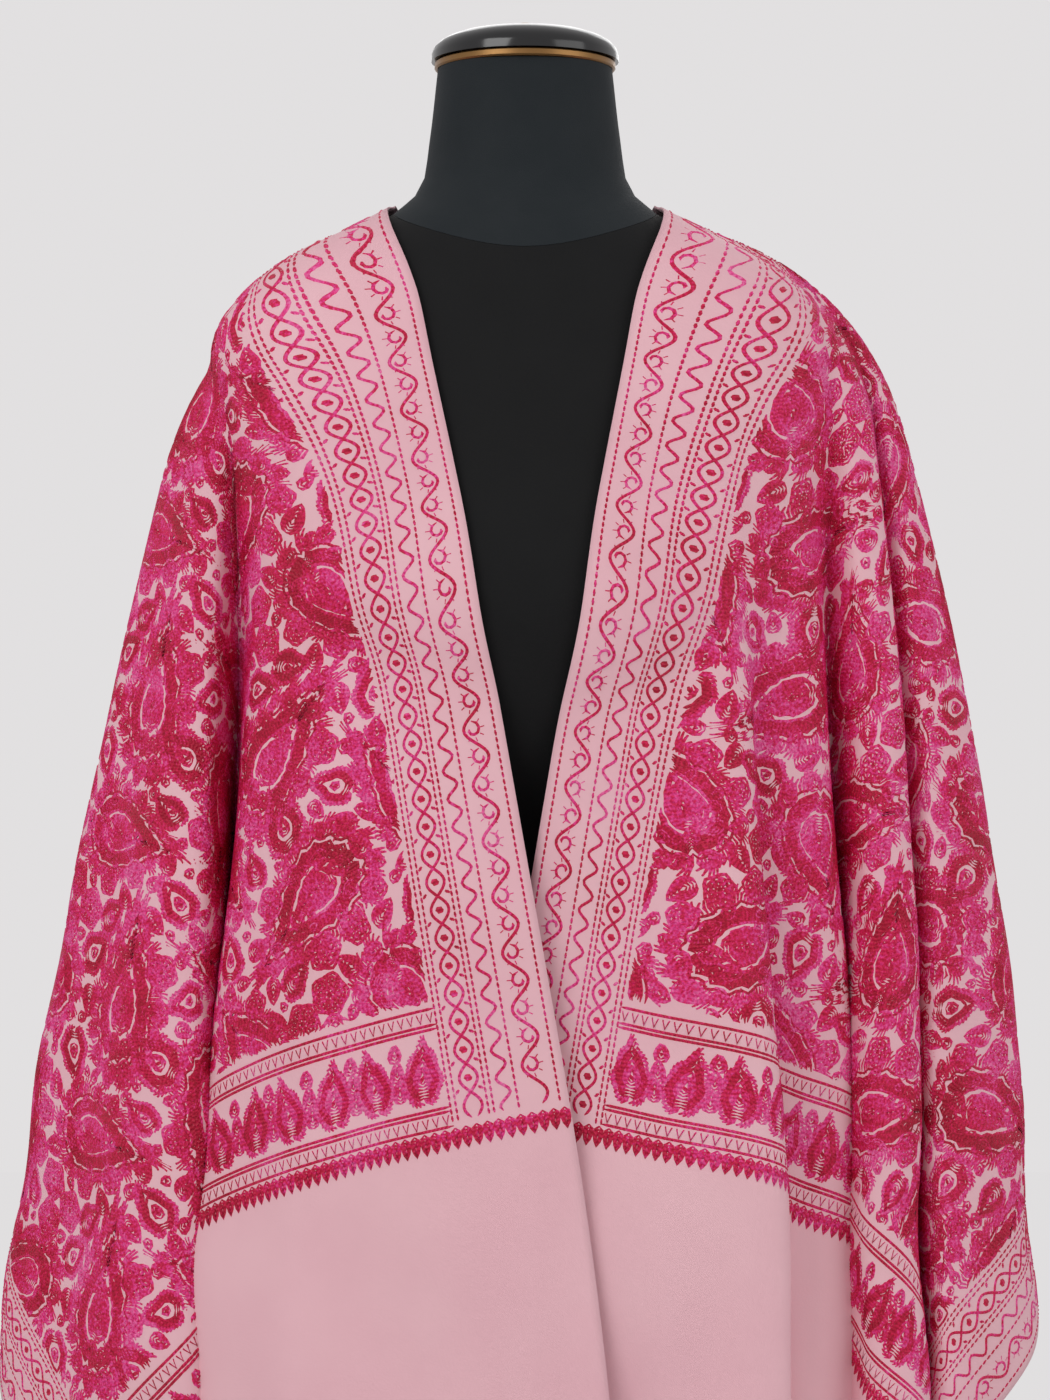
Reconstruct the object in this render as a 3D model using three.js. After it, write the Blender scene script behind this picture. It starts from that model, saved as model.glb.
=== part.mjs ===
// An embroidered wool stole worn open over the shoulders of a limbless dress form on its stand.
// Millimetres, +Z up, the front faces -Y. The origin is the centre of the stand's base, on the floor.
import * as THREE from "three";

// The stole as it is cut: one rectangle, worn with a long edge at the neck.
const clothLength = 2030;
const clothWidth = 710;
const clothThickness = 2;
const neckArc = 300; // the length of edge that lies behind the neck
const frontReach = (clothLength - neckArc) / 2;
const cornerTurn = THREE.MathUtils.radToDeg(Math.atan2(clothWidth, frontReach));

// How it hangs.
const neckHeight = 1400; // of the point where the neck meets the shoulder
const lowReach = 700; // how far along the cloth from the neck the low points below are
const kneeSoftness = 90; // how gently the cloth bends over the shoulder's rim
const settling = 0.5; // the share of its spread that the cloth loses below the low points
const settleSoftness = 120;
const backTurn = 43; // the turn given to the stretch behind the neck
const clearance = 5.7; // from the form to the middle of the cloth
const clearanceSoftness = 6;
const seamGap = 0.9;

// The dress form, measured from the neck point's height.
const outlinePower = 2.2;
const formRings = [
  { z: 86, half: 55, front: 54, back: 54 },
  { z: 36, half: 61, front: 57, back: 56 },
  { z: 14, half: 65, front: 60, back: 58 },
  { z: 0, half: 75, front: 66, back: 62 },
  { z: -20, half: 110, front: 78, back: 72 },
  { z: -45, half: 156, front: 88, back: 84 },
  { z: -75, half: 186, front: 98, back: 95 },
  { z: -120, half: 190, front: 112, back: 104 },
  { z: -180, half: 180, front: 128, back: 108 },
  { z: -250, half: 168, front: 146, back: 105 },
  { z: -320, half: 152, front: 126, back: 96 },
  { z: -400, half: 130, front: 98, back: 86 },
  { z: -500, half: 158, front: 108, back: 104 },
  { z: -600, half: 176, front: 113, back: 115 },
  { z: -640, half: 174, front: 111, back: 114 },
];
const formBottom = -640;
const neckTop = 86;
const neckSeam = -5;
const neckSeamDip = 30; // how much lower the neck's seam runs at the front
const formSides = 48;
const torsoSteps = 26;
const neckSteps = 8;
const pieceGap = 0.3;

// Fold lines of each front, from its inner edge round the shoulder to the back. turn is the line's angle in
// the flat cloth about the neck point, in degrees. rim is where the line leaves the shoulder and low is where
// it is when it has run lowReach, both as x outwards from the middle, y and z. bow is how far it swings out.
const overFolds = [
  { turn: 0, rim: [40, -130, 1230], low: [-43, -150], bow: 0 },
  { turn: 8, rim: [70, -124, 1240], low: [52, -153], bow: 0 },
  { turn: 12.5, rim: [87, -117, 1250], low: [98, -141], bow: 0 },
  { turn: 17, rim: [106, -108, 1262], low: [142, -138], bow: 0 },
  { turn: 21, rim: [124, -98, 1272], low: [178, -116], bow: -4 },
  { turn: 25, rim: [142, -84, 1282], low: [208, -95], bow: -8 },
  { turn: 35, rim: [170, -56, 1297], low: [190, 20], bow: 0 },
  { turn: 45, rim: [189, -34, 1307], low: [203, -106], bow: 4 },
  { turn: 49, rim: [195, -26, 1310], low: [246, -86], bow: 5 },
  { turn: 53, rim: [200, -15, 1312], low: [280, -46], bow: 5 },
  { turn: 59, rim: [207, 2, 1314], low: [321, 4], bow: 5 },
  { turn: 64, rim: [207, 18, 1312], low: [318, 60], bow: 5 },
  { turn: 71, rim: [200, 38, 1306], low: [256, 26], bow: 0 },
  { turn: 78, rim: [186, 56, 1298], low: [250, 112], bow: 4 },
  { turn: 84, rim: [171, 70, 1290], low: [200, 104], bow: 0 },
  { turn: 90, rim: [154, 82, 1280], low: [154, 124], bow: 0 },
];
const underFolds = [
  { turn: 0, rim: [46, -127, 1235], low: [-35, -132], bow: 0 },
  { turn: 9.5, rim: [82, -118, 1255], low: [70, -137], bow: 0 },
  { turn: 18.5, rim: [122, -99, 1282], low: [158, -120], bow: 0 },
  { turn: 21, rim: [132, -92, 1290], low: [147, -92], bow: 0 },
  { turn: 23.5, rim: [142, -84, 1298], low: [164, -86], bow: 0 },
  { turn: 28, rim: [160, -68, 1312], low: [207, -66], bow: 0 },
  { turn: 34, rim: [180, -48, 1326], low: [191, 2], bow: 4 },
  { turn: 40, rim: [196, -31, 1336], low: [203, -84], bow: 10 },
  { turn: 44, rim: [204, -19, 1341], low: [238, -74], bow: 12 },
  { turn: 49, rim: [210, -8, 1345], low: [236, -16], bow: 8 },
  { turn: 54, rim: [214, 0, 1346], low: [252, -62], bow: 14 },
  { turn: 60, rim: [216, 10, 1345], low: [312, -6], bow: 16 },
  { turn: 65, rim: [213, 22, 1342], low: [315, 46], bow: 14 },
  { turn: 72, rim: [204, 40, 1334], low: [260, 28], bow: 6 },
  { turn: 79, rim: [190, 58, 1322], low: [247, 110], bow: 6 },
  { turn: 84.5, rim: [174, 72, 1306], low: [200, 102], bow: 2 },
  { turn: 90, rim: [154, 84, 1284], low: [154, 124], bow: 0 },
];
// Lines down the back, by their share of the way from the over side's neck point to the under side's.
const backFolds = [
  { share: 0.25, start: [-58, 75, 1372], rim: [-82, 108, 1240], low: [-84, 134] },
  { share: 0.5, start: [0, 92, 1352], rim: [0, 116, 1230], low: [4, 120] },
  { share: 0.75, start: [58, 75, 1373], rim: [82, 108, 1242], low: [86, 136] },
];
const neckPoint = [80, 5, neckHeight];
const overSide = -1;
const underSide = 1;
const lastTurn = 90 + backTurn + 90;
const frontSteps = 22;
const backSteps = 20;
const columnsPerFold = 2;
const columnsBehind = 12;

// The stand, the cap and the ring. Radii, and heights from the floor.
const baseRadius = 190;
const baseEdge = 6;
const baseCrown = 12;
const hubRadius = 30;
const hubTop = 34;
const poleRadius = 14;
const collarRadius = 34;
const collarHeight = 30;
const ringRadius = 57;
const ringHeight = 5;
const capRadius = 59;
const capHeight = 19;
const capFlatRadius = 24;
const knobRadius = 6;
const knobHeight = 5;
const roundSides = 48;

const softMin = (a, b, soft) => {
  const h = Math.max(soft - Math.abs(a - b), 0) / soft;
  return Math.min(a, b) - (h * h * soft) / 4;
};
const softMax = (a, b, soft) => -softMin(-a, -b, soft);

// A smooth curve through rows of values at rising places.
function smoothThrough(places, valueAt, place) {
  const last = places.length - 1;
  let k = 0;
  while (k < last - 1 && place > places[k + 1]) k += 1;
  const slopeBetween = (i) => (valueAt(i + 1) - valueAt(i)) / (places[i + 1] - places[i]);
  const tangentAt = (i) => {
    if (i === 0) return slopeBetween(0);
    if (i === last) return slopeBetween(last - 1);
    const before = places[i] - places[i - 1];
    const after = places[i + 1] - places[i];
    return (after * slopeBetween(i - 1) + before * slopeBetween(i)) / (before + after);
  };
  const span = places[k + 1] - places[k];
  const t = (place - places[k]) / span;
  const rise = t * t * (3 - 2 * t);
  const leaving = t * (1 - t) * (1 - t) * span;
  const arriving = t * t * (t - 1) * span;
  return valueAt(k) * (1 - rise) + valueAt(k + 1) * rise + tangentAt(k) * leaving + tangentAt(k + 1) * arriving;
}

// The form's half width and depths at a height.
const ringPlaces = formRings.map((ring) => -ring.z);
function ringAt(height) {
  const place = Math.min(Math.max(neckHeight - height, ringPlaces[0]), ringPlaces.at(-1));
  const read = (column) => smoothThrough(ringPlaces, (i) => formRings[i][column], place);
  return { half: read("half"), front: read("front"), back: read("back") };
}

// How far the point (x, y, z) is outside the form's outline at its height.
function outside(x, y, z) {
  const ring = ringAt(z);
  const depth = y < 0 ? ring.front : ring.back;
  const level = (Math.abs(x) / ring.half) ** outlinePower + (Math.abs(y) / depth) ** outlinePower;
  return Math.hypot(x, y) * (1 - Math.max(level, 1e-6) ** (-1 / outlinePower));
}

// The cloth's point moved out until it lies clear of the form.
function clearOfForm(point) {
  const step = 0.5;
  for (let pass = 0; pass < 3; pass += 1) {
    const here = outside(point.x, point.y, point.z);
    const slope = new THREE.Vector3(
      outside(point.x + step, point.y, point.z) - here,
      outside(point.x, point.y + step, point.z) - here,
      outside(point.x, point.y, point.z + step) - here,
    ).divideScalar(step);
    const steepness = slope.length();
    const push = softMax(0, clearance - here / steepness, pass === 0 ? clearanceSoftness : 0.01);
    point.addScaledVector(slope, push / steepness);
  }
  return point;
}

// One fold line: where it starts, the rim it bends over, and how it hangs from there.
function foldLine(place, start, rim, low, bow, side) {
  const begin = new THREE.Vector3(...start);
  const knee = new THREE.Vector3(side * rim[0], rim[1], rim[2]);
  const rimReach = knee.distanceTo(begin);
  const over = new THREE.Vector3().subVectors(knee, begin).divideScalar(rimReach);
  const hang = lowReach - rimReach;
  const aside = side * low[0] - knee.x;
  const forward = low[1] - knee.y;
  const drop = Math.sqrt(hang * hang - aside * aside - forward * forward);
  const down = new THREE.Vector3(aside, forward, -drop).divideScalar(hang);
  return { place, begin, over, down, rimReach, hang, bow: bow * side };
}

const neckPointOf = (side) => [side * neckPoint[0], neckPoint[1], neckPoint[2]];
const frontLines = (folds, side, placeOf) =>
  folds.map((f) => foldLine(placeOf(f.turn), neckPointOf(side), f.rim, f.low, f.bow, side));
const foldLines = [
  ...frontLines(overFolds, overSide, (turn) => turn),
  ...backFolds.map((f) => foldLine(90 + f.share * backTurn, f.start, f.rim, f.low, 0, 1)),
  ...frontLines(underFolds, underSide, (turn) => lastTurn - turn).reverse(),
];
const linePlaces = foldLines.map((line) => line.place);

// The point that lies reach along a fold line.
function pointAlong(line, reach) {
  const shoulder = softMin(reach, line.rimReach, kneeSoftness);
  const hanging = reach - shoulder;
  const spread = hanging - settling * softMax(0, reach - lowReach, settleSoftness);
  const swing = Math.sin(Math.PI * Math.min(hanging / line.hang, 1));
  return [
    line.begin.x + line.over.x * shoulder + line.down.x * spread + line.bow * swing,
    line.begin.y + line.over.y * shoulder + line.down.y * spread,
    line.begin.z + line.over.z * shoulder + line.down.z * hanging,
  ];
}

// The middle of the cloth at a place round the body and a reach from the neck edge.
function clothPoint(place, reach) {
  const known = new Map();
  const pointOf = (i) => {
    if (!known.has(i)) known.set(i, pointAlong(foldLines[i], reach));
    return known.get(i);
  };
  const [x, y, z] = [0, 1, 2].map((axis) => smoothThrough(linePlaces, (i) => pointOf(i)[axis], place));
  return clearOfForm(new THREE.Vector3(x, y, z));
}

// Which way the cloth faces there.
function clothNormal(place, reach) {
  const turnStep = 0.4;
  const reachStep = 2;
  const from = Math.max(reach, 30);
  const round = new THREE.Vector3()
    .subVectors(clothPoint(Math.min(place + turnStep, lastTurn), from), clothPoint(Math.max(place - turnStep, 0), from));
  const down = new THREE.Vector3()
    .subVectors(clothPoint(place, from + reachStep), clothPoint(place, from - reachStep));
  return round.cross(down).normalize();
}

// How far the cloth reaches from the neck at a place round the body.
function hemReach(place) {
  const turn = place <= 90 ? place : lastTurn - place;
  if (place > 90 && place < lastTurn - 90) return clothWidth;
  const radians = THREE.MathUtils.degToRad(turn);
  return Math.min(frontReach / Math.max(Math.cos(radians), 1e-9), clothWidth / Math.max(Math.sin(radians), 1e-9));
}

// A closed triangle mesh from a list of points and a list of point numbers.
function closedMesh(points, faces) {
  const geometry = new THREE.BufferGeometry();
  geometry.setAttribute("position", new THREE.Float32BufferAttribute(points.flat(), 3));
  geometry.setIndex(faces);
  return geometry;
}

// A wall of cloth over a run of places, with its two faces, its side edges and its hem. Where the run starts
// at a neck point its columns all meet there.
function clothWall(places, steps, meetsAtNeck) {
  const points = [];
  const faces = [];
  const columns = places.length;
  const seamPlace = places[0] === 0 ? places[columns - 1] : places[0];
  const share = (row) => (row / steps) * (0.55 + (0.45 * row) / steps);
  for (const face of [0.5, -0.5]) {
    for (let row = 0; row <= steps; row += 1) {
      for (const place of places) {
        const reach = share(row) * hemReach(place);
        const atNeck = meetsAtNeck && row === 0;
        const point = clothPoint(place, reach);
        const normal = clothNormal(atNeck ? seamPlace : place, reach);
        points.push(point.addScaledVector(normal, face * clothThickness).toArray());
      }
    }
  }
  const layer = columns * (steps + 1);
  const quad = (a, b, c, d) => faces.push(a, b, c, a, c, d);
  for (let row = 0; row < steps; row += 1) {
    for (let column = 0; column < columns - 1; column += 1) {
      const a = row * columns + column;
      const [b, c, d] = [a + 1, a + columns + 1, a + columns];
      if (row === 0 && meetsAtNeck) {
        faces.push(0, c, d, layer, layer + d, layer + c);
      } else {
        quad(a, b, c, d);
        quad(layer + a, layer + d, layer + c, layer + b);
      }
    }
  }
  for (let row = 0; row < steps; row += 1) {
    const first = row * columns;
    const last = meetsAtNeck && row === 0 ? 0 : first + columns - 1;
    const lastBelow = first + 2 * columns - 1;
    quad(first, first + columns, layer + first + columns, layer + first);
    quad(last, layer + last, layer + lastBelow, lastBelow);
  }
  for (let column = 0; column < columns - 1; column += 1) {
    const hem = steps * columns + column;
    quad(hem, hem + 1, layer + hem + 1, layer + hem);
    if (!meetsAtNeck) quad(column, layer + column, layer + column + 1, column + 1);
  }
  return closedMesh(points, faces).toNonIndexed();
}

// The places of a front's columns: its fold lines, the ones between them, and the cut corner.
function frontPlaces(folds, placeOf) {
  const turns = [0];
  for (let i = 1; i < folds.length; i += 1) {
    for (let part = 1; part <= columnsPerFold; part += 1) {
      turns.push(folds[i - 1].turn + ((folds[i].turn - folds[i - 1].turn) * part) / columnsPerFold);
    }
  }
  const nearest = turns.reduce((best, turn) => (Math.abs(turn - cornerTurn) < Math.abs(best - cornerTurn) ? turn : best));
  turns[turns.indexOf(nearest)] = cornerTurn;
  return turns.map(placeOf).sort((a, b) => a - b);
}

const between = (from, to, steps) => Array.from({ length: steps + 1 }, (_, i) => from + ((to - from) * i) / steps);
const overPlaces = frontPlaces(overFolds, (turn) => turn);
const underPlaces = frontPlaces(underFolds, (turn) => lastTurn - turn);
const seamTurn = (backTurn * seamGap) / neckArc;
const backPlaces = between(90 + seamTurn, lastTurn - 90 - seamTurn, columnsBehind);

// The height of the neck's seam round the form, lower at the front.
function seamHeight(angle) {
  return neckHeight + neckSeam - neckSeamDip * Math.max(0, -Math.sin(angle)) ** 2;
}

// The point of the form's surface at an angle round it and a height.
function formPoint(angle, height) {
  const ring = ringAt(height);
  const [across, along] = [Math.cos(angle), Math.sin(angle)];
  const depth = along < 0 ? ring.front : ring.back;
  const level = Math.abs(across / ring.half) ** outlinePower + Math.abs(along / depth) ** outlinePower;
  const radius = level ** (-1 / outlinePower);
  return [across * radius, along * radius, height];
}

// A closed stretch of the form between two heights, each of which may change round it.
function formBody(lowerAt, upperAt, steps) {
  const points = [];
  const faces = [];
  const angles = Array.from({ length: formSides }, (_, i) => (2 * Math.PI * i) / formSides);
  for (let row = 0; row <= steps; row += 1) {
    for (const angle of angles) {
      points.push(formPoint(angle, lowerAt(angle) + ((upperAt(angle) - lowerAt(angle)) * row) / steps));
    }
  }
  for (let row = 0; row < steps; row += 1) {
    for (let side = 0; side < formSides; side += 1) {
      const next = (side + 1) % formSides;
      const [a, b] = [row * formSides + side, row * formSides + next];
      faces.push(a, b, b + formSides, a, b + formSides, a + formSides);
    }
  }
  const middleHeight = (heightAt) => (heightAt(0) + heightAt(-Math.PI / 2)) / 2;
  const [under, over] = [points.length, points.length + 1];
  points.push([0, 0, middleHeight(lowerAt)], [0, 0, middleHeight(upperAt)]);
  const top = steps * formSides;
  for (let side = 0; side < formSides; side += 1) {
    const next = (side + 1) % formSides;
    faces.push(under, next, side, over, top + side, top + next);
  }
  return closedMesh(points, faces).toNonIndexed();
}

// A turned piece from its half profile of radius and height, standing on the Z axis.
function turned(profile) {
  const outline = profile.map(([radius, height]) => new THREE.Vector2(radius, height));
  return new THREE.LatheGeometry(outline, roundSides).rotateX(Math.PI / 2);
}

const finish = (color, roughness, metalness) => new THREE.MeshStandardMaterial({ color, roughness, metalness });
const stoleCloth = () => finish(0xcf5f7c, 0.85, 0);
const blackJersey = () => finish(0x141517, 0.8, 0);
const slateJersey = () => finish(0x202629, 0.8, 0);
const blackGloss = () => finish(0x0a0a0b, 0.15, 0);
const goldBrown = () => finish(0x6b4a22, 0.35, 0.7);
const brass = () => finish(0xb08a45, 0.3, 0.9);
const blackPaint = () => finish(0x18181a, 0.45, 0.3);

const part = new THREE.Group();

function add(name, geometry, material, height = 0) {
  const mesh = new THREE.Mesh(geometry, material);
  mesh.name = name;
  mesh.position.z = height;
  part.add(mesh);
}

// The stole, in the stretches that show.
add("stole_front_over", clothWall(overPlaces, frontSteps, true), stoleCloth());
add("stole_back", clothWall(backPlaces, backSteps, false), stoleCloth());
add("stole_front_under", clothWall(underPlaces, frontSteps, true), stoleCloth());

// The dress form.
const torsoFoot = neckHeight + formBottom;
add("form_torso", formBody(() => torsoFoot, seamHeight, torsoSteps), blackJersey());
const aboveSeam = (angle) => seamHeight(angle) + pieceGap;
add("form_neck", formBody(aboveSeam, () => neckHeight + neckTop, neckSteps), slateJersey());

// The ring, cap and nub on top of the neck.
const ringFoot = neckHeight + neckTop + pieceGap;
const capFoot = ringFoot + ringHeight + pieceGap;
const knobFoot = capFoot + capHeight + pieceGap;
add("neck_ring", turned([[0, 0], [ringRadius - 1, 0], [ringRadius, 1], [ringRadius, ringHeight - 1],
  [ringRadius - 1, ringHeight], [0, ringHeight]]), goldBrown(), ringFoot);
const domePoints = between(0, Math.PI / 2, 6).map((angle) => [
  capFlatRadius + (capRadius - capFlatRadius) * Math.cos(angle),
  4 + (capHeight - 4) * Math.sin(angle),
]);
add("neck_cap", turned([[0, 0], [capRadius, 0], ...domePoints, [0, capHeight]]), blackGloss(), capFoot);
add("cap_knob", turned([[0, 0], [knobRadius, 0], [knobRadius, knobHeight - 2], [knobRadius - 2, knobHeight],
  [0, knobHeight]]), brass(), knobFoot);

// The stand.
add("stand_base", turned([[0, 0], [baseRadius, 0], [baseRadius, baseEdge], [hubRadius * 2, baseCrown],
  [hubRadius, baseCrown + 4], [poleRadius + 8, hubTop], [0, hubTop]]), blackPaint());
const poleFoot = hubTop + pieceGap;
const poleLength = torsoFoot - pieceGap - poleFoot;
add("stand_pole", turned([[0, 0], [poleRadius, 0], [poleRadius, poleLength], [0, poleLength]]), blackPaint(), poleFoot);
const collarFoot = torsoFoot - pieceGap - collarHeight;
const collarBore = poleRadius + pieceGap;
add("stand_collar", turned([[collarBore, 0], [collarBore + 6, 0], [collarRadius, collarHeight - 8],
  [collarRadius, collarHeight], [collarBore, collarHeight], [collarBore, 0]]), blackPaint(), collarFoot);

export default part;
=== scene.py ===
import bpy
import bmesh
import math
import numpy as np
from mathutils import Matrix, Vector


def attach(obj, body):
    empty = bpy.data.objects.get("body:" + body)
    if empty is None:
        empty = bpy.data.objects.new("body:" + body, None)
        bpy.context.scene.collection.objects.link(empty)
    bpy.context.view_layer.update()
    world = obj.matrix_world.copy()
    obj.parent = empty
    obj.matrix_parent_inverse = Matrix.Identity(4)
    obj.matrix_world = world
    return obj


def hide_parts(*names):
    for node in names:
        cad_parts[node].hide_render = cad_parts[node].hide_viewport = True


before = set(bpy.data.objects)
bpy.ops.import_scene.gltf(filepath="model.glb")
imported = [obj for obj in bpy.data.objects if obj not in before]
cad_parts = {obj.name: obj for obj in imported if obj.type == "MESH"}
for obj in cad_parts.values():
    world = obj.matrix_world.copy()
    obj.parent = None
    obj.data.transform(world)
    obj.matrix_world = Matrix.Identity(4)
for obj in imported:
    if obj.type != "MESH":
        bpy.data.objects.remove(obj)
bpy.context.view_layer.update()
mm = 0.001
print("frame loaded")


# node maths on sockets
class Wire:
    def __init__(self, tree, socket=None):
        self.tree = tree
        self.socket = socket

    # any node: its type, its own settings, then its inputs as values or wires
    def node(self, kind, settings=None, inputs=None, output=0):
        made = self.tree.nodes.new(kind)
        for name, value in (settings or {}).items():
            if name == "stops":
                ramp = made.color_ramp
                while len(ramp.elements) < len(value):
                    ramp.elements.new(0.5)
                for element, (place, color) in zip(ramp.elements, value):
                    element.position = place
                    element.color = (*color, 1)
            else:
                setattr(made, name, value)
        for name, value in (inputs or {}).items():
            if isinstance(value, Wire):
                self.tree.links.new(value.socket, made.inputs[name])
            else:
                made.inputs[name].default_value = value
        return Wire(self.tree, made.outputs[output])

    def calc(self, operation, first, second=0.0):
        return self.node("ShaderNodeMath", {"operation": operation}, {0: first, 1: second})

    def __add__(self, other):
        return self.calc("ADD", self, other)

    def __radd__(self, other):
        return self.calc("ADD", other, self)

    def __sub__(self, other):
        return self.calc("SUBTRACT", self, other)

    def __rsub__(self, other):
        return self.calc("SUBTRACT", other, self)

    def __mul__(self, other):
        return self.calc("MULTIPLY", self, other)

    def __rmul__(self, other):
        return self.calc("MULTIPLY", other, self)

    def sine(self):
        return self.calc("SINE", self)

    def size(self):
        return self.calc("ABSOLUTE", self)


def newMaterial(name, roughness, metallic=0.0):
    material = bpy.data.materials.new(name)
    material.use_nodes = True
    surface = material.node_tree.nodes["Principled BSDF"]
    surface.inputs["Roughness"].default_value = roughness
    surface.inputs["Metallic"].default_value = metallic
    return material, Wire(material.node_tree), surface


def feed(wire, surface, name, value):
    wire.tree.links.new(value.socket, surface.inputs[name])


def noiseAt(wire, where, scale, detail=2.0):
    return wire.node("ShaderNodeTexNoise", None, {"Vector": where, "Scale": scale, "Detail": detail})


woolLook = {
    "light": (0.88, 0.53, 0.58),
    "deep": (0.82, 0.46, 0.52),
    "mottle": 9.0,
    "twillPitch": 1.1 * mm,
}
threadLook = {
    # the lightest stop, reached in fine flecks, is painted glint on the silk thread; the stops below it are
    # the thread's dye
    "stops": [(0.24, (0.42, 0.004, 0.030)), (0.40, (0.62, 0.007, 0.060)), (0.50, (0.74, 0.014, 0.115)),
              (0.60, (0.85, 0.045, 0.27)), (0.80, (0.93, 0.20, 0.45))],
    "dyeScale": 26.0,
    # fine flecks: partly the dye's own speckle, partly painted glint
    "fleckAndGlintScale": 520.0,
    "stitch": 2.6 * mm,
}


def woolMaterial():
    material, wire, surface = newMaterial("pinkWool", 0.85)
    place = wire.node("ShaderNodeUVMap", {"uv_map": "cut"})
    spot = wire.node("ShaderNodeTexCoord", None, None, "Object")
    mottle = noiseAt(wire, spot, woolLook["mottle"], 4.0)
    color = wire.node("ShaderNodeValToRGB", {"stops": [(0.3, woolLook["deep"]), (0.7, woolLook["light"])]},
                      {"Fac": mottle})
    feed(wire, surface, "Base Color", color)
    apart = wire.node("ShaderNodeSeparateXYZ", None, {"Vector": place})
    across = wire.node("ShaderNodeSeparateXYZ", None, {"Vector": place}, "Y")
    twill = ((apart + across) * (2 * math.pi / woolLook["twillPitch"])).sine()
    nap = noiseAt(wire, spot, 700.0)
    weave = twill * 0.4 + nap
    bump = wire.node("ShaderNodeBump", None, {"Strength": 0.35, "Distance": 0.0004, "Height": weave})
    feed(wire, surface, "Normal", bump)
    surface.inputs["Sheen Weight"].default_value = 0.15
    surface.inputs["Sheen Roughness"].default_value = 0.5
    surface.inputs["Sheen Tint"].default_value = (1.0, 0.8, 0.84, 1.0)
    return material


def threadMaterial():
    material, wire, surface = newMaterial("variegatedThread", 0.48)
    spot = wire.node("ShaderNodeTexCoord", None, None, "Object")
    tint = wire.node("ShaderNodeAttribute", {"attribute_name": "tint"}, None, "Fac")
    dye = noiseAt(wire, spot, threadLook["dyeScale"])
    # fine flecks, partly dye speckle and partly painted glint that lifts the thread to its lightest pink
    fleckAndGlint = noiseAt(wire, spot, threadLook["fleckAndGlintScale"], 1.0)
    mixed = dye * 0.7 + tint * 0.26 + fleckAndGlint * 0.62 - 0.30
    color = wire.node("ShaderNodeValToRGB", {"stops": threadLook["stops"]}, {"Fac": mixed})
    feed(wire, surface, "Base Color", color)
    run = wire.node("ShaderNodeUVMap", {"uv_map": "run"})
    along = wire.node("ShaderNodeSeparateXYZ", None, {"Vector": run})
    side = wire.node("ShaderNodeSeparateXYZ", None, {"Vector": run}, "Y")
    link = (along * (math.pi / threadLook["stitch"]) + side.size() * 1.3).sine().size()
    bump = wire.node("ShaderNodeBump", None, {"Strength": 0.8, "Distance": 0.0007, "Height": link})
    feed(wire, surface, "Normal", bump)
    surface.inputs["Specular IOR Level"].default_value = 0.3
    return material


def jerseyMaterial(name, color, lift):
    material, wire, surface = newMaterial(name, 0.82)
    spot = wire.node("ShaderNodeTexCoord", None, None, "Object")
    cloud = noiseAt(wire, spot, 30.0)
    lighter = tuple(c + lift for c in color)
    shade = wire.node("ShaderNodeValToRGB", {"stops": [(0.3, color), (0.7, lighter)]}, {"Fac": cloud})
    feed(wire, surface, "Base Color", shade)
    knit = noiseAt(wire, spot, 1500.0)
    bump = wire.node("ShaderNodeBump", None, {"Strength": 0.3, "Distance": 0.0004, "Height": knit})
    feed(wire, surface, "Normal", bump)
    surface.inputs["Sheen Weight"].default_value = 0.02
    surface.inputs["Specular IOR Level"].default_value = 0.25
    return material


def hardMaterial(name, color, roughness, metallic):
    material, wire, surface = newMaterial(name, roughness, metallic)
    spot = wire.node("ShaderNodeTexCoord", None, None, "Object")
    wear = noiseAt(wire, spot, 60.0, 3.0)
    surface.inputs["Base Color"].default_value = (*color, 1)
    feed(wire, surface, "Roughness", wear * 0.12 + (roughness - 0.06))
    return material


wool = woolMaterial()
thread = threadMaterial()
blackJersey = jerseyMaterial("blackJersey", (0.0025, 0.0026, 0.003), 0.001)
slateJersey = jerseyMaterial("slateJersey", (0.010, 0.014, 0.017), 0.004)
capLacquer = hardMaterial("capLacquer", (0.004, 0.004, 0.005), 0.16, 0.0)
goldBrown = hardMaterial("goldBrown", (0.23, 0.12, 0.04), 0.35, 0.8)
brass = hardMaterial("brass", (0.62, 0.42, 0.16), 0.25, 1.0)
standPaint = hardMaterial("standPaint", (0.012, 0.012, 0.013), 0.42, 0.0)
print("materials made")

# how the stole hangs, in millimetres
stole = {
    "length": 2030.0,
    "width": 710.0,
    "neckArc": 300.0,
    "neckHeight": 1400.0,
    "lowReach": 700.0,
    "kneeSoftness": 90.0,
    "settling": 0.5,
    "settleSoftness": 120.0,
    "backTurn": 43.0,
    "clearance": 4.6,
    "clearanceSoftness": 6.0,
    "thickness": 1.5,
    "pleatDepth": 1.3,
    "pleatFrom": 700.0,
    "pleatGrowth": 170.0,
    "swellTop": 1250.0,
    "swellFall": 500.0,
    "gridStep": 6.0,
}
# turn, then the rim's x outwards, y and z, then the low point's x and y, then the bow
overFolds = [
    (0, 40, -130, 1230, -43, -150, 0), (8, 70, -124, 1240, 52, -153, 0),
    (12.5, 87, -117, 1250, 98, -141, 0), (17, 106, -108, 1262, 142, -138, 0),
    (21, 124, -98, 1272, 178, -116, -4), (25, 142, -84, 1282, 208, -95, -8),
    (35, 170, -56, 1297, 190, 20, 0), (45, 189, -34, 1307, 203, -106, 4),
    (49, 195, -26, 1310, 246, -86, 5), (53, 200, -15, 1312, 280, -46, 5),
    (59, 207, 2, 1314, 321, 4, 5), (64, 207, 18, 1312, 318, 60, 5),
    (71, 200, 38, 1306, 256, 26, 0), (78, 186, 56, 1298, 250, 112, 4),
    (84, 171, 70, 1290, 200, 104, 0), (90, 154, 82, 1280, 154, 124, 0),
]
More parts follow.
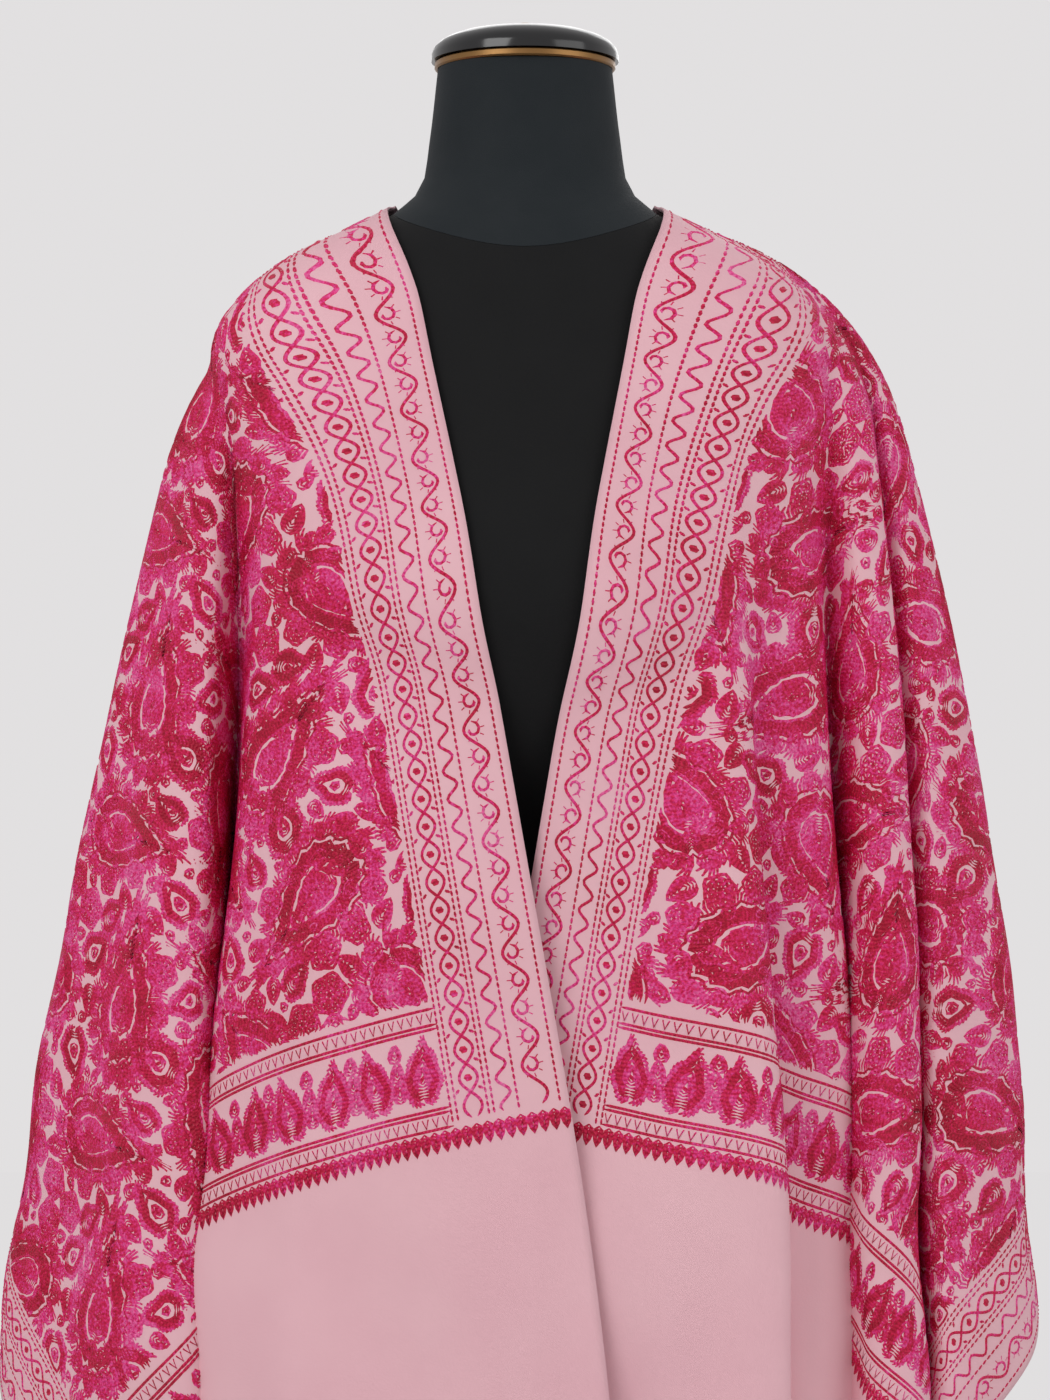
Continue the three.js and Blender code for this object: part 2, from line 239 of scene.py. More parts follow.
underFolds = [
    (0, 46, -127, 1235, -35, -132, 0), (9.5, 82, -118, 1255, 70, -137, 0),
    (18.5, 122, -99, 1282, 158, -120, 0), (21, 132, -92, 1290, 147, -92, 0),
    (23.5, 142, -84, 1298, 164, -86, 0), (28, 160, -68, 1312, 207, -66, 0),
    (34, 180, -48, 1326, 191, 2, 4), (40, 196, -31, 1336, 203, -84, 10),
    (44, 204, -19, 1341, 238, -74, 12), (49, 210, -8, 1345, 236, -16, 8),
    (54, 214, 0, 1346, 252, -62, 14), (60, 216, 10, 1345, 312, -6, 16),
    (65, 213, 22, 1342, 315, 46, 14), (72, 204, 40, 1334, 260, 28, 6),
    (79, 190, 58, 1322, 247, 110, 6), (84.5, 174, 72, 1306, 200, 102, 2),
    (90, 154, 84, 1284, 154, 124, 0),
]
# share of the way across the back, start, rim, low point
backFolds = [
    (0.25, (-58, 75, 1372), (-82, 108, 1240), (-84, 134)),
    (0.5, (0, 92, 1352), (0, 116, 1230), (4, 120)),
    (0.75, (58, 75, 1373), (82, 108, 1242), (86, 136)),
]
# the form: height from the neck point, half width, front depth, back depth
formRings = np.array([
    (86, 55, 54, 54), (36, 61, 57, 56), (14, 65, 60, 58), (0, 75, 66, 62),
    (-20, 110, 78, 72), (-45, 156, 88, 84), (-75, 186, 98, 95), (-120, 190, 112, 104),
    (-180, 180, 128, 108), (-250, 168, 146, 105), (-320, 152, 126, 96), (-400, 130, 98, 86),
    (-500, 158, 108, 104), (-600, 176, 113, 115), (-640, 174, 111, 114),
], dtype=float)
outlinePower = 2.2
lastTurn = 180 + stole["backTurn"]


def softMin(a, b, soft):
    near = np.maximum(soft - np.abs(a - b), 0) / soft
    return np.minimum(a, b) - near * near * soft / 4


def softMax(a, b, soft):
    return -softMin(-a, -b, soft)


# smooth curve through rows of values at rising places; a column picks one value of a row for each place
def curveValue(places, values, at, column=None):
    k = np.clip(np.searchsorted(places, at, side="left") - 1, 0, len(places) - 2)
    steps = np.diff(places)
    tall = (slice(None),) + (None,) * (values.ndim - 1)
    slopes = np.diff(values, axis=0) / steps[tall]
    between = ((steps[1:][tall] * slopes[:-1] + steps[:-1][tall] * slopes[1:])
               / (steps[1:] + steps[:-1])[tall])
    tangents = np.concatenate([slopes[:1], between, slopes[-1:]])
    t = (at - places[k]) / steps[k]
    rise = (t * t * (3 - 2 * t))[:, None]
    leave = (t * (1 - t) ** 2 * steps[k])[:, None]
    arrive = (t * t * (t - 1) * steps[k])[:, None]
    low = k if column is None else (k, column)
    high = k + 1 if column is None else (k + 1, column)
    return values[low] * (1 - rise) + values[high] * rise + tangents[low] * leave + tangents[high] * arrive


def outsideForm(points):
    drop = np.clip(stole["neckHeight"] - points[:, 2], -formRings[0, 0], -formRings[-1, 0])
    ring = curveValue(-formRings[:, 0], formRings[:, 1:], drop)
    depth = np.where(points[:, 1] < 0, ring[:, 1], ring[:, 2])
    level = ((np.abs(points[:, 0]) / ring[:, 0]) ** outlinePower
             + (np.abs(points[:, 1]) / depth) ** outlinePower)
    return np.hypot(points[:, 0], points[:, 1]) * (1 - np.maximum(level, 1e-6) ** (-1 / outlinePower))


def clearOfForm(points):
    probe = 0.5
    for turn in range(3):
        here = outsideForm(points)
        slope = np.stack([(outsideForm(points + step) - here) / probe for step in np.eye(3) * probe], axis=1)
        steep = np.linalg.norm(slope, axis=1)
        soft = stole["clearanceSoftness"] if turn == 0 else 0.01
        push = softMax(np.zeros_like(here), stole["clearance"] - here / steep, soft)
        points = points + slope * (push / steep)[:, None]
    return points


def foldLine(place, start, rim, low, bow, side):
    begin = np.array(start, dtype=float)
    knee = np.array((side * rim[0], rim[1], rim[2]), dtype=float)
    rimReach = np.linalg.norm(knee - begin)
    hang = stole["lowReach"] - rimReach
    aside = side * low[0] - knee[0]
    forward = low[1] - knee[1]
    drop = math.sqrt(hang ** 2 - aside ** 2 - forward ** 2)
    over = (knee - begin) / rimReach
    down = np.array((aside, forward, -drop)) / hang
    return place, begin, over, down, rimReach, hang, bow * side


def allLines():
    neck = (80, 5, stole["neckHeight"])
    lines = [foldLine(r[0], (-neck[0], *neck[1:]), r[1:4], r[4:6], r[6], -1) for r in overFolds]
    lines += [foldLine(90 + r[0] * stole["backTurn"], r[1], r[2], r[3], 0, 1) for r in backFolds]
    lines += [foldLine(lastTurn - r[0], neck, r[1:4], r[4:6], r[6], 1) for r in reversed(underFolds)]
    return lines


foldLines = allLines()
linePlaces = np.array([line[0] for line in foldLines])


# the cloth's middle at places round the body and reaches from the neck edge
def hangPoints(place, reach):
    rows = []
    for _, begin, over, down, rimReach, hang, bow in foldLines:
        shoulder = softMin(reach, rimReach, stole["kneeSoftness"])
        hanging = reach - shoulder
        spread = hanging - stole["settling"] * softMax(np.zeros_like(reach), reach - stole["lowReach"],
                                                       stole["settleSoftness"])
        swing = np.sin(math.pi * np.minimum(hanging / hang, 1))
        rows.append(np.stack([begin[0] + over[0] * shoulder + down[0] * spread + bow * swing,
                              begin[1] + over[1] * shoulder + down[1] * spread,
                              begin[2] + over[2] * shoulder + down[2] * hanging], axis=1))
    rows = np.array(rows)
    return clearOfForm(curveValue(linePlaces, rows, place, np.arange(len(place))))


# from the flat cloth (u along from the middle of the back, v from the neck edge) to where it hangs
def drape(u, v):
    half = stole["neckArc"] / 2
    past = np.abs(u) - half
    front = past > 0
    turn = np.degrees(np.arctan2(v, np.maximum(past, 1e-6)))
    behind = 90 + (u + half) / (2 * half) * stole["backTurn"]
    place = np.where(front, np.where(u < 0, turn, lastTurn - turn), behind)
    reach = np.where(front, np.hypot(past, v), v)
    return hangPoints(place, reach)


def gridDrape():
    nu = int(round(stole["length"] / stole["gridStep"])) + 1
    nv = int(round(stole["width"] / stole["gridStep"])) + 1
    us = np.linspace(-stole["length"] / 2, stole["length"] / 2, nu)
    vs = np.linspace(0, stole["width"], nv)
    uu, vv = np.meshgrid(us, vs, indexing="ij")
    points = drape(uu.ravel(), vv.ravel()).reshape(nu, nv, 3)
    # slow swells that a hand-hung cloth has, strongest low down and nothing at the neck
    swell = (2.2 * np.sin(uu / 61 + vv / 83) + 1.6 * np.sin(uu / 37 - vv / 29 + 1.3)
             + 1.1 * np.sin(vv / 17 + uu / 113))
    fade = np.clip((stole["swellTop"] - points[..., 2]) / stole["swellFall"], 0, 1) ** 2
    across = np.gradient(points, axis=0)
    down = np.gradient(points, axis=1)
    normals = np.cross(across, down)
    normals /= np.maximum(np.linalg.norm(normals, axis=2, keepdims=True), 1e-9)
    # soft upright pleats that open in the plain ends
    x = points[..., 0]
    pleat = stole["pleatDepth"] * (np.sin(x / 11.5 + 0.8) + 0.6 * np.sin(x / 7.1 + 2.1))
    plain = np.clip((np.abs(uu) - stole["pleatFrom"]) / stole["pleatGrowth"], 0, 1)
    points = points + normals * (swell * fade + pleat * plain)[..., None]
    return us, vs, points, normals


us, vs, clothPoints, clothNormals = gridDrape()
print("stole draped", clothPoints.shape)


def meshObject(name, vertices, faces, material):
    mesh = bpy.data.meshes.new(name)
    mesh.from_pydata(vertices, [], faces)
    mesh.materials.append(material)
    mesh.polygons.foreach_set("use_smooth", [True] * len(mesh.polygons))
    piece = bpy.data.objects.new(name, mesh)
    bpy.context.collection.objects.link(piece)
    return piece


def loopUv(piece, name, values):
    layer = piece.data.uv_layers.new(name=name)
    corners = np.empty(len(piece.data.loops), dtype=np.int32)
    piece.data.loops.foreach_get("vertex_index", corners)
    layer.data.foreach_set("uv", values[corners].astype(np.float32).ravel())


def clothPiece():
    nu, nv = clothPoints.shape[:2]
    index = np.arange(nu * nv).reshape(nu, nv)
    faces = np.stack([index[:-1, :-1], index[1:, :-1], index[1:, 1:], index[:-1, 1:]], axis=-1).reshape(-1, 4)
    cloth = meshObject("stole_cloth", (clothPoints.reshape(-1, 3) * mm).tolist(), faces.tolist(), wool)
    uu, vv = np.meshgrid(us, vs, indexing="ij")
    loopUv(cloth, "cut", np.stack([uu.ravel(), vv.ravel()], axis=1) * mm)
    wall = cloth.modifiers.new("wall", "SOLIDIFY")
    wall.thickness = stole["thickness"] * mm
    wall.offset = 0.0
    return cloth


cloth = clothPiece()
print("cloth made")

# embroidery: strokes in the flat cloth, laid on the draped one
needle = {
    "width": 2.55,
    "pitch": 2.1,
    "sunk": 0.62,
    "raised": 1.5,
    "step": 4.1,
    "budStep": 3.4,
    "bluntShort": 0.72,
    "bluntLong": 0.45,
    "endRise": 0.3,
    "seed": 11,
}
rng = np.random.default_rng(needle["seed"])


def onCloth(uv):
    gu = np.clip((uv[:, 0] - us[0]) / (us[1] - us[0]), 0, len(us) - 1.001)
    gv = np.clip(uv[:, 1] / (vs[1] - vs[0]), 0, len(vs) - 1.001)
    i, j = gu.astype(int), gv.astype(int)
    a, b = (gu - i)[:, None], (gv - j)[:, None]

    def blend(grid):
        return (grid[i, j] * (1 - a) * (1 - b) + grid[i + 1, j] * a * (1 - b)
                + grid[i, j + 1] * (1 - a) * b + grid[i + 1, j + 1] * a * b)
    return blend(clothPoints), blend(clothNormals)


def lengthsAlong(points):
    return np.concatenate([[0], np.cumsum(np.linalg.norm(np.diff(points, axis=0), axis=1))])


def evenSteps(points, step):
    lengths = lengthsAlong(points)
    count = max(int(math.ceil(lengths[-1] / step)), 2) + 1
    at = np.linspace(0, lengths[-1], count)
    return np.stack([np.interp(at, lengths, points[:, axis]) for axis in (0, 1)], axis=1)


# a list of (points, width, tint) as one mesh of rounded ribbons
def threadPiece(name, strokes):
    flat, lifts, runs, tints, faces = [], [], [], [], []
    total = 0
    for points, width, tint in strokes:
        n = len(points)
        blunt = needle["bluntShort"] if n <= 3 else needle["bluntLong"]
        way = np.gradient(points, axis=0)
        way /= np.maximum(np.linalg.norm(way, axis=1, keepdims=True), 1e-9)
        across = np.stack([-way[:, 1], way[:, 0]], axis=1)
        half = np.full(n, width / 2)
        half[[0, -1]] *= blunt
        left, right = points + across * half[:, None], points - across * half[:, None]
        flat.append(np.stack([left, points, right], axis=1).reshape(-1, 2))
        top = np.full(n, needle["raised"])
        top[[0, -1]] = needle["sunk"] + needle["endRise"]
        low = np.full(n, needle["sunk"])
        lifts.append(np.stack([low, top, low], axis=1).ravel())
        along = lengthsAlong(points) * mm
        runs.append(np.stack([np.repeat(along, 3), np.tile([-1.0, 0.0, 1.0], n)], axis=1))
        tints.append(np.full(3 * n, tint))
        base = total + 3 * np.arange(n - 1)
        faces.append(np.stack([base, base + 1, base + 4, base + 3], axis=1))
        faces.append(np.stack([base + 1, base + 2, base + 5, base + 4], axis=1))
        total += 3 * n
    flat = np.concatenate(flat)
    place, out = onCloth(flat)
    vertices = (place + out * np.concatenate(lifts)[:, None]) * mm
    order = np.concatenate(faces)[:, ::-1]
    piece = meshObject(name, vertices.tolist(), order.tolist(), thread)
    loopUv(piece, "run", np.concatenate(runs))
    shade = piece.data.attributes.new("tint", "FLOAT", "POINT")
    shade.data.foreach_set("value", np.concatenate(tints).astype(np.float32))
    print(name, len(order) * 2, "triangles")
    return piece


def turned(points, angle, place):
    c, s = math.cos(angle), math.sin(angle)
    return points @ np.array([[c, s], [-s, c]]) + np.array(place)


# a leaf from its foot at the origin to its tip, with a curled tip
def leafOutline(length, width, curl, count=44):
    s = (1 - np.cos(np.linspace(0, math.pi, count // 2))) / 2
    half = width / 2 * np.sin(math.pi * s ** 0.66) ** 0.85
    bend = curl * length * s ** 2.2
    upper = np.stack([s * length, bend + half], axis=1)
    lower = np.stack([s * length, bend - half], axis=1)
    return np.concatenate([upper, lower[-2::-1]])


def shrunk(outline, core, share):
    return core + (outline - core) * share


leaf = {
    "toothStep": 2.7,
    "lobeLength": 15.0,
    "lobeDepth": 0.16,
    "rim": 0.72,
    "bareRing": (0.33, 0.39),
    "darkFrom": 0.42,
}


# a lobed leaf: teeth all round its rim, then rings about its core with one left bare
def bigLeaf(length, width, curl):
    outline = leafOutline(length, width, curl)
    core = np.array([length * 0.4, curl * length * 0.13])
    strokes = []
    rim = evenSteps(outline, leaf["toothStep"])
    way = np.linspace(0, 1, len(rim))
    lobes = round(len(rim) * leaf["toothStep"] / leaf["lobeLength"])
    wave = 1 + leaf["lobeDepth"] * (np.abs(np.sin(math.pi * lobes * way)) - 0.6)
    rim = core + (rim - core) * wave[:, None]
    outline = core + (outline - core) * np.interp(np.linspace(0, 1, len(outline)), way, wave)[:, None]
    inner = shrunk(rim, core, leaf["rim"])
    for k in range(0, len(rim) - 2):
        strokes.append((np.stack([inner[k], (inner[k] + rim[k + 1]) / 2, rim[k + 2]]), 2.6, 0.78))
    strokes.append((evenSteps(shrunk(outline, core, 0.73), needle["step"]), 2.3, 0.1))
    share = 0.63
    step = needle["pitch"] / (length * 0.46)
    while share > 0.1:
        tint = 0.1 if share > leaf["darkFrom"] else 0.7
        if not leaf["bareRing"][0] < share < leaf["bareRing"][1]:
            strokes.append((evenSteps(shrunk(outline, core, share), needle["step"]), needle["width"], tint))
        share -= step
    strokes.append((np.stack([core - 1.5, core, core + 1.5]), 3.0, 0.0))
    return strokes


# a petal or bud of closed rings, the inner ones darker
def bud(length, width, curl=0.15):
    outline = leafOutline(length, width, curl, 24)
    core = np.array([length * 0.42, curl * length * 0.15])
    strokes = []
    share = 1.0
    while share > 0.12:
        ring = evenSteps(shrunk(outline, core, share), needle["budStep"])
        strokes.append((ring, needle["width"], 0.2 + 0.5 * share))
        share -= needle["pitch"] / (length * 0.5)
    return strokes


# a small flower of buds about a knot
def flower(radius, petals=5):
    strokes = []
    length = radius * 0.92
    for k in range(petals):
        angle = 2 * math.pi * k / petals
        foot = radius * 0.12 * np.array([math.cos(angle), math.sin(angle)])
        petal = bud(length, 2.3 * length * math.sin(math.pi / petals), 0.1)
        strokes.extend((turned(p, angle, foot), w, t + 0.1 * (k % 2)) for p, w, t in petal)
    strokes.append((np.array([[-1.6, 0], [0, 0.2], [1.6, 0]]), 4.0, 0.0))
    return strokes


field = {
    "repeatAlong": 246.0,
    "repeatAcross": 282.0,
    "gap": 2.2,
    "smallest": 2.7,
    "largest": 15.0,
    "leafFrom": 11.0,
    "flowerFrom": 8.0,
    "grid": 4.0,
    "fillings": 230,
    "guard": 1.6,
    "nodeGap": 7.0,
    "nodeLeaves": ((14, 104, 66, 0.26), (106, 124, 72, 0.22), (194, 104, 66, 0.26), (286, 124, 72, 0.22)),
    "trefoilRadius": 13.0,
    "trefoilSpread": 14.5,
    "heart": (48, 36, -0.1),
    "tintSpread": 0.15,
    "from": 72.5,
    "end": 680.0,
}


# one repeat: four curled leaves about a node, a trefoil and a heart leaf, then what fits in between
def repeatUnit():
    strokes, balls = [], []
    along, across = field["repeatAlong"], field["repeatAcross"]
    images = [(a * along + b * along / 2, b * across / 2) for a in range(-2, 3) for b in range(-2, 3)]

    def put(parts, angle, place):
        shift = rng.uniform(-field["tintSpread"], field["tintSpread"])
        strokes.extend((turned(p, angle, place), w, t + shift) for p, w, t in parts)

    # balls that keep the fillings off a leaf
    def guard(outline, angle, place):
        line = turned(outline, angle, place)
        middle = line.mean(axis=0)
        for share in (1.0, 0.7, 0.4, 0.0):
            balls.extend((*(middle + (p - middle) * share), field["guard"]) for p in line[::3])

    for degrees, length, width, curl in field["nodeLeaves"]:
        angle = math.radians(degrees)
        outline = leafOutline(length, width, curl)
        foot = np.array([math.cos(angle), math.sin(angle)]) * (length + field["nodeGap"])
        put(bigLeaf(length, width, curl), angle + math.pi, foot)
        guard(outline, angle + math.pi, foot)
    centre = np.array([along / 4 + 4, across / 4 + 2])
    for k in range(3):
        angle = math.radians(90 + 120 * k)
        spot = centre + field["trefoilSpread"] * np.array([math.cos(angle), math.sin(angle)])
        put(flower(field["trefoilRadius"]), angle, spot)
        ring = [spot + 6 * np.array([math.cos(a), math.sin(a)]) for a in np.linspace(0, 5.2, 6)]
        balls.extend((*p, 6.5) for p in ring)
    heart = np.array([-along / 4 - 18, across / 4 + 2])
    put(bigLeaf(*field["heart"]), math.radians(20), heart)
    guard(leafOutline(*field["heart"]), math.radians(20), heart)
    gx, gy = np.meshgrid(np.arange(0, along, field["grid"]), np.arange(0, across / 2, field["grid"]))
    spots = np.stack([gx.ravel(), gy.ravel()], axis=1)
    held = np.array([(x + dx, y + dy, r) for x, y, r in balls for dx, dy in images])
    room = np.min(np.linalg.norm(spots[:, None] - held[None, :, :2], axis=2) - held[:, 2], axis=1)
    for _ in range(field["fillings"]):
        best = int(np.argmax(room))
        size = min(room[best] - field["gap"] / 2, field["largest"])
        if size < field["smallest"]:
            break
        spot = spots[best]
        angle = rng.uniform(0, 2 * math.pi)
        toTip = np.array([math.cos(angle), math.sin(angle)])
        if size > field["leafFrom"]:
            put(bigLeaf(2.5 * size, 1.9 * size, 0.2), angle, spot - 1.1 * size * toTip)
        elif size > field["flowerFrom"]:
            put(flower(size + 0.8), angle, spot)
        else:
            long = 2.5 * size
            put(bud(long, 1.8 * size), angle, spot - 0.48 * long * toTip)
        taken = np.array([(spot[0] + dx, spot[1] + dy) for dx, dy in images])
        near = np.min(np.linalg.norm(spots[:, None] - taken[None], axis=2), axis=1) - size
        room = np.minimum(room, near)
    return strokes


# the stretches of a stroke that lie inside a box of the flat cloth
def clipped(points, low, high):
    inside = ((points >= low) & (points <= high)).all(axis=1)
    pieces, start = [], None
    for k, good in enumerate(inside):
        if good and start is None:
            start = k
        if start is not None and (not good or k == len(inside) - 1):
            stop = k if not good else k + 1
            if stop - start >= 3:
                pieces.append(points[start:stop])
            start = None
    return pieces


def fieldStrokes():
    unit = repeatUnit()
    along, across = field["repeatAlong"], field["repeatAcross"]
    low = np.array([-field["end"], field["from"]])
    high = np.array([field["end"], stole["width"] - field["from"]])
    middle = np.array([0.0, stole["width"] / 2])
    strokes = []
    for a in range(-4, 5):
        for b in range(-3, 4):
            offset = middle + np.array([a * along + (b % 2) * along / 2, b * across / 2])
            for points, width, tint in unit:
                placed = points + offset
                if (placed.max(axis=0) < low).any() or (placed.min(axis=0) > high).any():
                    continue
                strokes.extend((part, width, tint) for part in clipped(placed, low, high))
    return strokes


border = {
    "end": 752.0,
    "repeat": 16.75,
    "dash": 3.4,
    "dashGap": 0.8,
    "waveHeight": 3.6,
    "guillocheHeight": 5.6,
    "scrollHeight": 6.2,
    "lines": (5.5, 30.0, 44.6, 47.8, 66.8, 70.2),
    "scroll": 18.0,
    "wave": 37.0,
    "guilloche": 56.5,
    "specks": ((48.8, 2.6), (65.8, -2.6)),
}


def bandStrokes(length):
    fine = np.arange(-length, length + 0.1, 2.1)
    turnRate = 2 * math.pi / border["repeat"]
    dash = np.array([[0.0, 0.0], [border["dash"] / 2, 0.0], [border["dash"], 0.0]])
    starts = np.arange(-length, length, border["dash"] + border["dashGap"])
    strokes = [(dash + np.array([u, v]), 2.0, 0.5) for v in border["lines"] for u in starts]
    wave = border["wave"] + border["waveHeight"] * np.sin(fine * turnRate)
    strokes.append((np.stack([fine, wave], axis=1), 2.2, 0.7))
    for sign in (1, -1):
        wave = border["guilloche"] + sign * border["guillocheHeight"] * np.sin(fine * turnRate / 2)
        strokes.append((np.stack([fine, wave], axis=1), 2.2, 0.55))
    vine = border["scroll"] + border["scrollHeight"] * np.sin(fine * turnRate / 2)
    strokes.append((np.stack([fine, vine], axis=1), 2.3, 0.5))
    spin = np.linspace(0, 1.6 * math.pi, 8)
    size = np.linspace(5.2, 1.8, 8)
    for k in range(int(-length / border["repeat"]), int(length / border["repeat"]) + 1):
        middle = (k + 0.5) * border["repeat"]
        side = 1 if k % 2 == 0 else -1
        if abs(middle) > length - 6:
            continue
        curl = np.stack([middle + size * np.cos(spin),
                         border["scroll"] - side * (size * np.sin(spin) - 1)], axis=1)
        strokes.append((curl, 2.2, 0.85))
        for angle in spin[1:6]:
            barb = np.array([[size[0], 0], [size[0] + 2.4, 0]])
            strokes.append((turned(barb, -side * angle, (middle, border["scroll"] + side)), 1.7, 0.7))
        dot = np.array([[middle - 2.0, border["guilloche"]], [middle, border["guilloche"] + 0.2],
                        [middle + 2.0, border["guilloche"]]])
        strokes.append((dot, 6.4, 0.15))
        for v, lean in border["specks"]:
            speck = np.array([[middle - 8, v], [middle - 7, v + lean / 2], [middle - 6, v + lean]])
            strokes.append((speck, 2.4, 0.6))
    return strokes


cross = {
    "rails": (684.0, 693.5, 696.0, 743.0, 745.5, 754.5),
    "zigzags": (686.0, 747.5),
    "inset": 70.0,
    "band": 697.0,
    "flower": 31.5,
    "leaf": 42.0,
    "leafWidth": 27.0,
    "lean": 0.12,
    "budWidth": 8.4,
    "secondRail": 743.0,
    "teeth": 755.0,
    "toothLength": 12.0,
    "toothStep": 6.6,
}


# the border across one end, drawn as (distance along, across) on the over side
def crossStrokes():
    strokes = []
    inner, outer = cross["inset"], stole["width"] - cross["inset"]
    run = np.arange(inner, outer + 0.1, 4.0)
    for place in cross["rails"]:
        strokes.append((np.stack([np.full_like(run, place), run], axis=1), 2.1, 0.35))
    for v in np.arange(inner + 4, outer - 2, cross["toothStep"]):
        for place in cross["zigzags"]:
            strokes.append((np.array([[place, v - 2], [place + 5.5, v], [place, v + 2]]), 1.9, 0.6))
    spacing = cross["flower"]
    middle = (cross["band"] + cross["secondRail"]) / 2
    for k in range(int((outer - inner) / spacing)):
        v = inner + (k + 0.5) * spacing
        lean = cross["lean"] * (1 if k % 2 == 0 else -1)
        for p, w, t in bigLeaf(cross["leaf"], cross["leafWidth"], lean):
            strokes.append((turned(p, math.pi, (cross["secondRail"] - 2.5, v)), w, t))
        for aside, length in ((-9, 11), (3, 13), (15, 14)):
            for p, w, t in bud(length, cross["budWidth"], 0.1):
                strokes.append((turned(p, math.pi, (middle + aside, v + spacing / 2)), w, t + 0.2))
    for v in np.arange(3.5, stole["width"] - 2, cross["toothStep"]):
        for p, w, t in bud(cross["toothLength"], 5.0, 0.0):
            strokes.append((turned(p, 0, (cross["teeth"] + 1, v)), w, 0.45))
    return strokes


def inStretch(strokes, low, high):
    return [s for s in strokes if low <= s[0][:, 0].mean() < high]


def embroider():
    inField = fieldStrokes()
    edges = bandStrokes(border["end"])
    flip = np.array([1.0, -1.0])
    edges += [(p * flip + np.array([0.0, stole["width"]]), w, t) for p, w, t in edges]
    ends = crossStrokes()
    ends += [(p * np.array([-1.0, 1.0]), w, t) for p, w, t in ends]
    cuts = (-1015.0, -420.0, -160.0, 160.0, 420.0, 1015.0)
    names = ("over_front", "over_shoulder", "back", "under_shoulder", "under_front")
    made = [threadPiece("jaal_" + n, inStretch(inField, a, b)) for n, a, b in zip(names, cuts, cuts[1:])]
    made.append(threadPiece("edge_border", edges))
    made.append(threadPiece("end_border", ends))
    return made


embroidery = embroider()
for piece in [cloth, *embroidery]:
    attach(piece, "root")
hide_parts("stole_front_over", "stole_back", "stole_front_under")
print("embroidery laid")

sharpAngle = math.radians(35)


# the form and its stand: each a smooth-shaded copy of its own solid
def smoothCopy(node, name, material):
    shape = bmesh.new()
    shape.from_mesh(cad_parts[node].data)
    bmesh.ops.remove_doubles(shape, verts=shape.verts, dist=1e-5)
    bmesh.ops.dissolve_degenerate(shape, dist=1e-6, edges=shape.edges)
    for face in shape.faces:
        face.smooth = True
    for edge in shape.edges:
        edge.smooth = not (edge.is_manifold and edge.calc_face_angle(0) > sharpAngle)
    mesh = bpy.data.meshes.new(name)
    shape.to_mesh(mesh)
    shape.free()
    mesh.materials.append(material)
    piece = bpy.data.objects.new(name, mesh)
    bpy.context.collection.objects.link(piece)
    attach(piece, "root")
    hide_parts(node)
    return piece


smoothCopy("form_torso", "form_body", blackJersey)
smoothCopy("form_neck", "neck_cover", slateJersey)
smoothCopy("neck_ring", "gold_ring", goldBrown)
smoothCopy("neck_cap", "glossy_cap", capLacquer)
smoothCopy("cap_knob", "brass_nub", brass)
smoothCopy("stand_pole", "pole", standPaint)
smoothCopy("stand_collar", "collar", standPaint)
smoothCopy("stand_base", "round_base", standPaint)
print("form and stand made")

studio = {
    "distance": 2.25,
    "level": 1.09,
    "frameHeight": 0.882,
    "sensor": 24.0,
    "backdrop": (0.76, 0.745, 0.75),
    "fill": 0.62,
    "floorGlow": 0.97,
}


def lamp(name, place, aim, size, power):
    data = bpy.data.lights.new(name, "AREA")
    data.size = size
    data.energy = power
    made = bpy.data.objects.new(name, data)
    made.location = place
    made.rotation_euler = (Vector(aim) - Vector(place)).to_track_quat("-Z", "Y").to_euler()
    bpy.context.collection.objects.link(made)


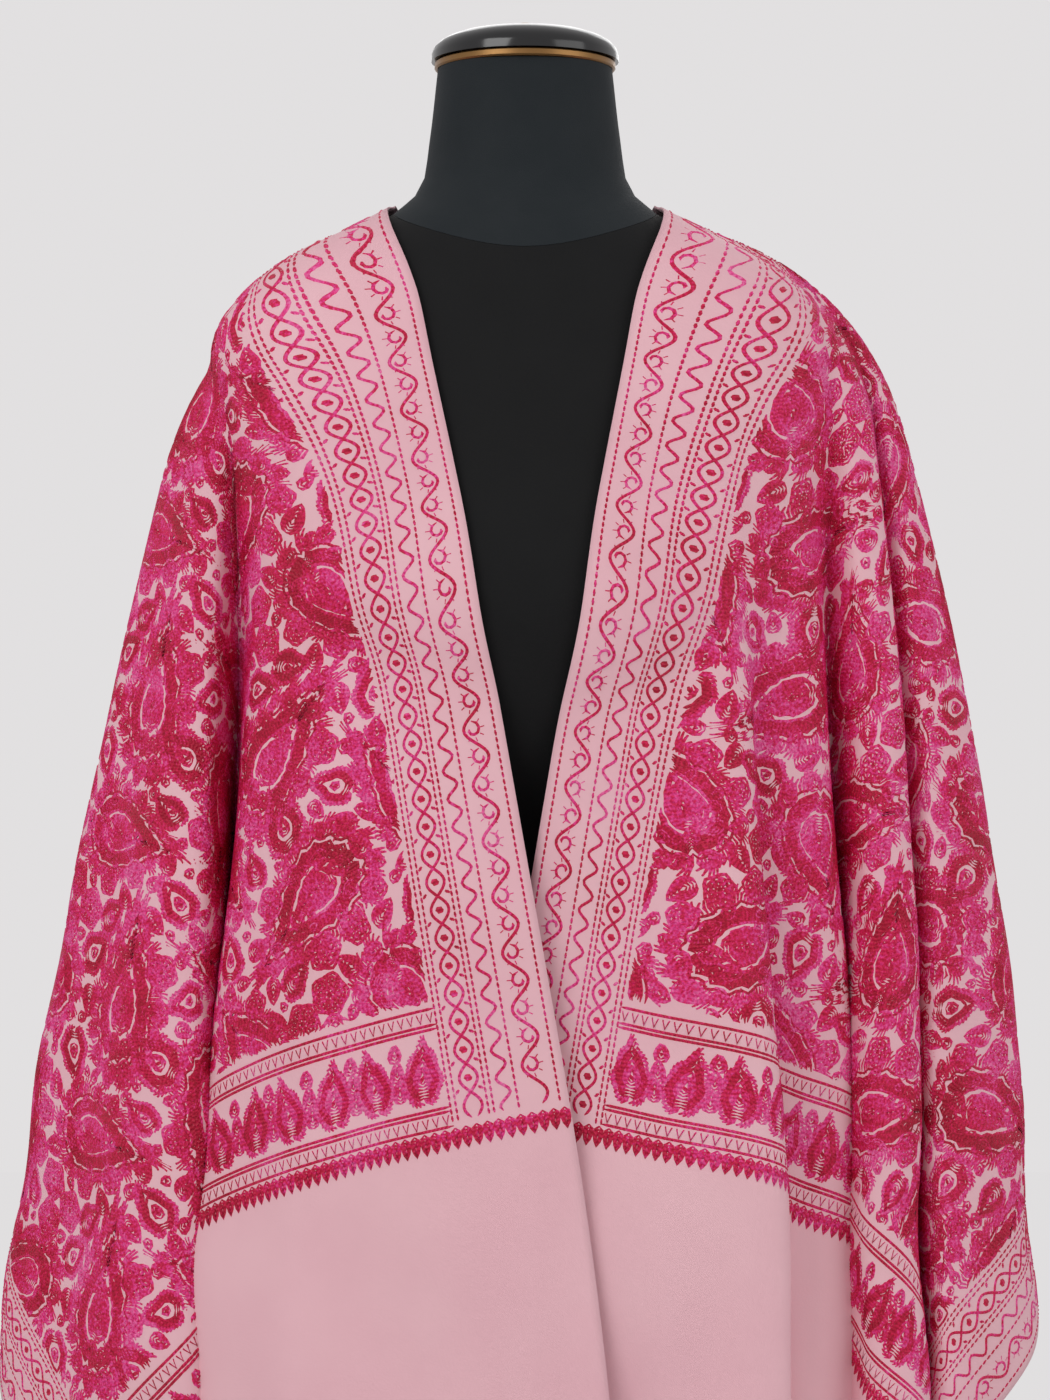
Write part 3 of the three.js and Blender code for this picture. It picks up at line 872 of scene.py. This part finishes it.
def buildStudio():
    camera = bpy.data.objects.new("camera", bpy.data.cameras.new("camera"))
    camera.data.sensor_fit = "VERTICAL"
    camera.data.sensor_height = studio["sensor"]
    camera.data.lens = studio["sensor"] * studio["distance"] / studio["frameHeight"]
    camera.location = (0, -studio["distance"], studio["level"])
    camera.rotation_euler = (math.pi / 2, 0, 0)
    bpy.context.collection.objects.link(camera)
    bpy.context.scene.camera = camera
    floorShape = bmesh.new()
    bmesh.ops.create_grid(floorShape, x_segments=1, y_segments=1, size=6)
    floorMesh = bpy.data.meshes.new("floor")
    floorShape.to_mesh(floorMesh)
    floorShape.free()
    floor = bpy.data.objects.new("floor", floorMesh)
    material, wire, surface = newMaterial("paleFloor", 0.9)
    surface.inputs["Base Color"].default_value = (0.78, 0.77, 0.77, 1)
    glow = wire.node("ShaderNodeEmission", None, {"Color": (*studio["backdrop"], 1), "Strength": 1.0})
    looked = wire.node("ShaderNodeLightPath")
    blend = wire.node("ShaderNodeMixShader", None, {0: looked * studio["floorGlow"]})
    shader = blend.socket.node
    wire.tree.links.new(surface.outputs["BSDF"], shader.inputs[1])
    wire.tree.links.new(glow.socket, shader.inputs[2])
    wire.tree.links.new(blend.socket, wire.tree.nodes["Material Output"].inputs["Surface"])
    floorMesh.materials.append(material)
    floor.location.z = -0.0005
    bpy.context.collection.objects.link(floor)
    world = bpy.data.worlds.new("softRoom")
    world.use_nodes = True
    bpy.context.scene.world = world
    sky = Wire(world.node_tree)
    ground = world.node_tree.nodes["Background"]
    ground.inputs["Color"].default_value = (*studio["backdrop"], 1)
    seen = sky.node("ShaderNodeLightPath", None, None, "Is Camera Ray")
    glint = sky.node("ShaderNodeLightPath", None, None, "Is Glossy Ray")
    clear = seen.calc("MAXIMUM", seen, glint)
    strength = clear * (1.0 - studio["fill"]) + studio["fill"]
    sky.tree.links.new(strength.socket, ground.inputs["Strength"])
    lamp("key", (-1.6, -2.2, 2.6), (0, 0, 1.1), 1.6, 34)
    lamp("side", (2.2, -1.4, 1.9), (0, 0, 1.1), 1.8, 16)
    lamp("rear", (0.4, 2.4, 2.4), (0, 0, 1.1), 1.8, 14)
    bpy.context.scene.view_settings.view_transform = "Standard"


buildStudio()
print("studio set")
